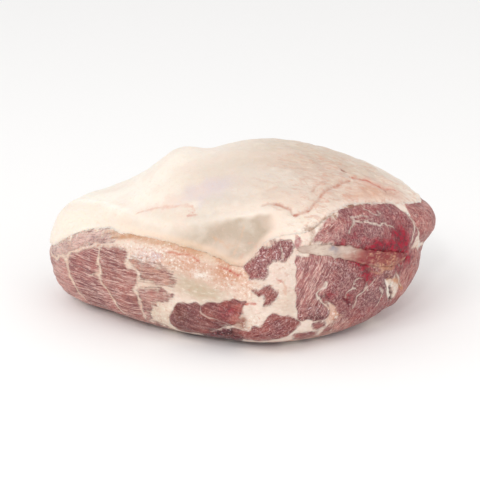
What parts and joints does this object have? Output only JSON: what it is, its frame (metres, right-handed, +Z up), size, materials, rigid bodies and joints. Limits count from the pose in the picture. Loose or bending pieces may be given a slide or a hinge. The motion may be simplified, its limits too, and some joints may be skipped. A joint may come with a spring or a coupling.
{
  "type": "bone-in pork butt",
  "caption": "Raw bone-in pork shoulder butt lying fat side up: a domed cap of creamy fat over marbled lean, with the blade bone showing at the cut face.",
  "frame": {"origin": "on the ground under the middle of the joint's box, which stands on its flat underside", "axes": "+Z up, out of the fat side; +X along the joint's length, to the end beside the blade bone's cut; the two cut faces look toward -Y"},
  "size_m": [0.284, 0.1958, 0.1215],
  "materials": {
    "fat": "moist satin raw pork fat, creamy white",
    "lean": "moist raw pork lean, dull rose red with pale marbling",
    "bone": "sawn bone, off-white with red marrow"
  },
  "bodies": {
    "root": {"fat_cap": "fat", "lean_meat": "lean", "blade_bone": "bone"}
  },
  "joints": []
}
